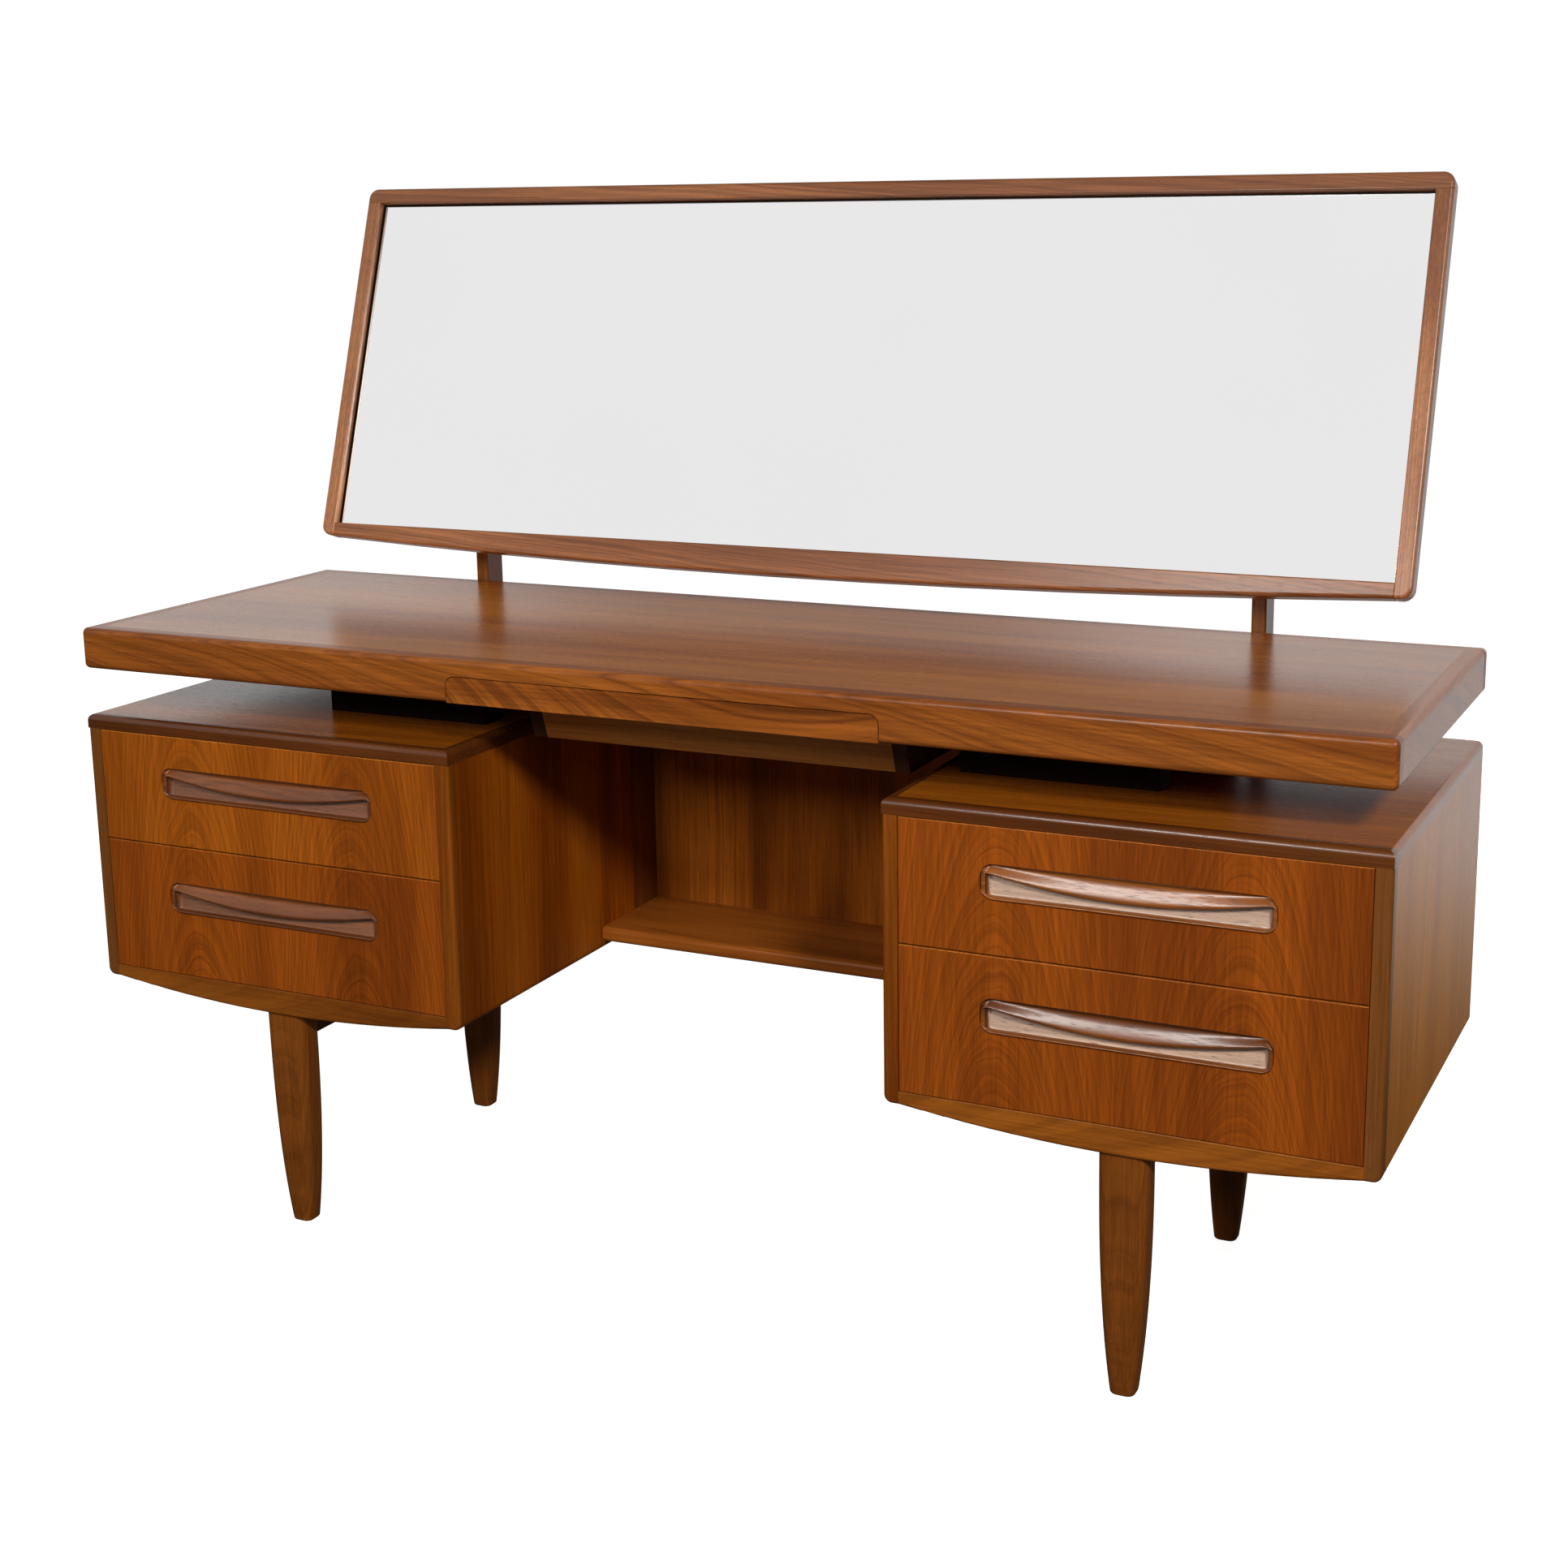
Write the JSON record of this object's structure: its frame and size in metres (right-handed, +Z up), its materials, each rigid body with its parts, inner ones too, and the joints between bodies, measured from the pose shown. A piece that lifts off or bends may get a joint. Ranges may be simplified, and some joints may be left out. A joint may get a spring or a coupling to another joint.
{
  "type": "vanity table with mirror",
  "caption": "Long dressing table: a floating top over drawer pedestals either side of a kneehole, a slim centre drawer, and a wide framed mirror that tilts on posts behind.",
  "frame": {"origin": "on the floor, under the middle of the whole object's box", "axes": "+X to the right as one faces the front, -Y out of the front, +Z up"},
  "size_m": [1.52, 0.5404, 1.1989],
  "materials": {
    "teak_veneer": "satin lacquered teak veneer with straight and cathedral grain",
    "solid_teak": "satin lacquered solid teak",
    "dark_batten": "dark stained wood",
    "drawer_wood": "plain pale hardwood, thinly lacquered",
    "plywood": "thin veneered plywood",
    "mirror_glass": "clear silvered mirror glass",
    "plated_steel": "zinc plated steel",
    "brass": "plain turned brass"
  },
  "bodies": {
    "carcase": {"centre_drawer_guides": "drawer_wood", "drawer_runners": "drawer_wood", "front_left_leg": "solid_teak", "front_right_leg": "solid_teak", "kneehole_back": "plywood", "kneehole_rear_stiles": "solid_teak", "kneehole_shelf": "teak_veneer", "left_bottom_rail": "solid_teak", "left_inner_side": "teak_veneer", "left_mirror_post": "solid_teak", "left_outer_side": "teak_veneer", "left_pedestal_lid": "teak_veneer", "leg_rails": "solid_teak", "mirror_pivot_bolts": "brass", "pedestal_backs": "plywood", "pedestal_floors": "drawer_wood", "post_screws": "plated_steel", "rear_left_leg": "solid_teak", "rear_right_leg": "solid_teak", "right_bottom_rail": "solid_teak", "right_inner_side": "teak_veneer", "right_mirror_post": "solid_teak", "right_outer_side": "teak_veneer", "right_pedestal_lid": "teak_veneer", "top_board": "teak_veneer", "top_edge_lippings": "solid_teak", "top_front_lipping": "solid_teak", "top_spacers": "dark_batten"},
    "upper_left_drawer": {"upper_left_drawer_back": "drawer_wood", "upper_left_drawer_bottom": "plywood", "upper_left_drawer_front": "teak_veneer", "upper_left_drawer_handle": "solid_teak", "upper_left_drawer_sides": "drawer_wood"},
    "lower_left_drawer": {"lower_left_drawer_back": "drawer_wood", "lower_left_drawer_bottom": "plywood", "lower_left_drawer_front": "teak_veneer", "lower_left_drawer_handle": "solid_teak", "lower_left_drawer_sides": "drawer_wood"},
    "upper_right_drawer": {"upper_right_drawer_back": "drawer_wood", "upper_right_drawer_bottom": "plywood", "upper_right_drawer_front": "teak_veneer", "upper_right_drawer_handle": "solid_teak", "upper_right_drawer_sides": "drawer_wood"},
    "lower_right_drawer": {"lower_right_drawer_back": "drawer_wood", "lower_right_drawer_bottom": "plywood", "lower_right_drawer_front": "teak_veneer", "lower_right_drawer_handle": "solid_teak", "lower_right_drawer_sides": "drawer_wood"},
    "centre_drawer": {"centre_drawer_back": "drawer_wood", "centre_drawer_bottoms": "plywood", "centre_drawer_front": "teak_veneer", "centre_drawer_sides": "drawer_wood", "centre_drawer_well_front": "drawer_wood"},
    "mirror": {"mirror_backboard": "plywood", "mirror_bottom_rail": "solid_teak", "mirror_brackets": "plated_steel", "mirror_cleats": "drawer_wood", "mirror_glass": "mirror_glass", "mirror_side_rails": "solid_teak", "mirror_top_rail": "solid_teak"}
  },
  "joints": [
    {"name": "upper_left_drawer_slide", "type": "slide", "parent": "carcase", "child": "upper_left_drawer", "axis": [0, -1, 0], "range_m": [0, 0.3]},
    {"name": "lower_left_drawer_slide", "type": "slide", "parent": "carcase", "child": "lower_left_drawer", "axis": [0, -1, 0], "range_m": [0, 0.3]},
    {"name": "upper_right_drawer_slide", "type": "slide", "parent": "carcase", "child": "upper_right_drawer", "axis": [0, -1, 0], "range_m": [0, 0.3]},
    {"name": "lower_right_drawer_slide", "type": "slide", "parent": "carcase", "child": "lower_right_drawer", "axis": [0, -1, 0], "range_m": [0, 0.3]},
    {"name": "centre_drawer_slide", "type": "slide", "parent": "carcase", "child": "centre_drawer", "axis": [0, -1, 0], "range_m": [0, 0.22]},
    {"name": "mirror_tilt", "type": "hinge", "parent": "carcase", "child": "mirror", "pos_m": [0, 0.21427, 0.9568], "axis": [1, 0, 0], "range_deg": [-12, 18]}
  ]
}
